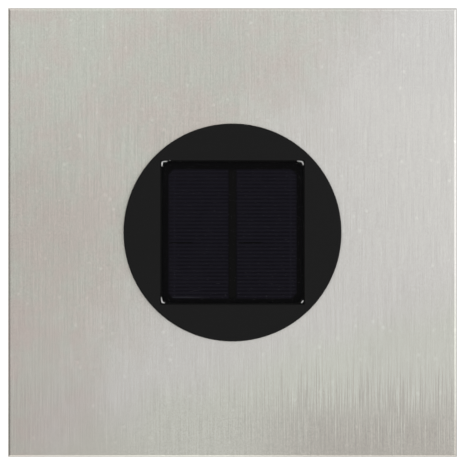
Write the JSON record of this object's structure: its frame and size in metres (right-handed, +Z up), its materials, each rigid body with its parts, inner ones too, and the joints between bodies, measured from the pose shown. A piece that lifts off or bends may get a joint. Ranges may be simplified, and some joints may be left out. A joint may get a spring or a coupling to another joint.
{
  "type": "solar path light",
  "caption": "Square post path light with a brushed steel hat, a round lift-out solar module, an opal diffuser and a bolt-down base plate.",
  "frame": {"origin": "middle of the base plate's underside, on the ground", "axes": "+Z up along the post; +X to the right and +Y away from the viewer, which are the picture's right and top"},
  "size_m": [0.175, 0.175, 0.4996],
  "materials": {
    "brushed_stainless": "straight-grained satin stainless sheet",
    "fastener_steel": "turned stainless fastener",
    "seal_rubber": "black foam rubber",
    "opal_acrylic": "opal acrylic, lightly polished",
    "black_abs": "finely textured moulded ABS",
    "white_abs": "white moulded ABS",
    "panel_board": "black solder mask",
    "solar_cell": "dark blue silicon with fine silver fingers",
    "clear_resin": "clear potting resin",
    "silicone": "clear silicone bead",
    "circuit_board": "green solder mask",
    "component_plastic": "moulded component bodies",
    "led_epoxy": "LED epoxy over a yellow phosphor",
    "clear_lens": "clear moulded lens",
    "lead_insulation": "PVC insulation",
    "nickel_plate": "nickel-plated spring steel",
    "battery_sleeve": "printed shrink sleeve, bare of marks"
  },
  "bodies": {
    "light_frame": {"hat": "brushed_stainless", "hat_studs": "fastener_steel", "stud_washers": "fastener_steel", "stud_nuts": "fastener_steel", "upper_gasket": "seal_rubber", "lower_gasket": "seal_rubber", "diffuser": "opal_acrylic", "carrier": "brushed_stainless", "head_screws": "fastener_steel", "post": "brushed_stainless", "foot_screws": "fastener_steel", "socket": "brushed_stainless", "base_plate": "brushed_stainless"},
    "solar_module": {"module_housing": "black_abs", "module_gasket": "seal_rubber", "panel_board": "panel_board", "solar_cells": "solar_cell", "panel_resin": "clear_resin", "panel_sealant": "silicone", "module_base": "white_abs", "module_seal": "seal_rubber", "module_screws": "fastener_steel", "circuit_board": "circuit_board", "driver_parts": "component_plastic", "board_screws": "fastener_steel", "leds": "led_epoxy", "lens": "clear_lens", "panel_leads": "lead_insulation", "battery_leads": "lead_insulation", "contact_spring": "nickel_plate", "contact_plates": "nickel_plate", "switch_body": "nickel_plate"},
    "switch_knob": {"switch_slider": "black_abs"},
    "cover_set": {"battery_cover": "white_abs", "cover_seal": "seal_rubber", "cover_screws": "fastener_steel"},
    "battery_cell": {"battery": "battery_sleeve"}
  },
  "joints": [
    {"name": "module_lift", "type": "slide", "parent": "light_frame", "child": "solar_module", "axis": [0, 0, 1], "range_m": [0, 0.06]},
    {"name": "switch_slide", "type": "slide", "parent": "solar_module", "child": "switch_knob", "axis": [1, 0, 0], "range_m": [0, 0.003]},
    {"name": "cover_drop", "type": "slide", "parent": "solar_module", "child": "cover_set", "axis": [0, 0, -1], "range_m": [0, 0.036]},
    {"name": "battery_drop", "type": "slide", "parent": "solar_module", "child": "battery_cell", "axis": [0, 0, -1], "range_m": [0, 0.018]}
  ],
  "couplings": [
    {"joint": "battery_drop", "follows": "cover_drop", "ratio": 0.5}
  ]
}
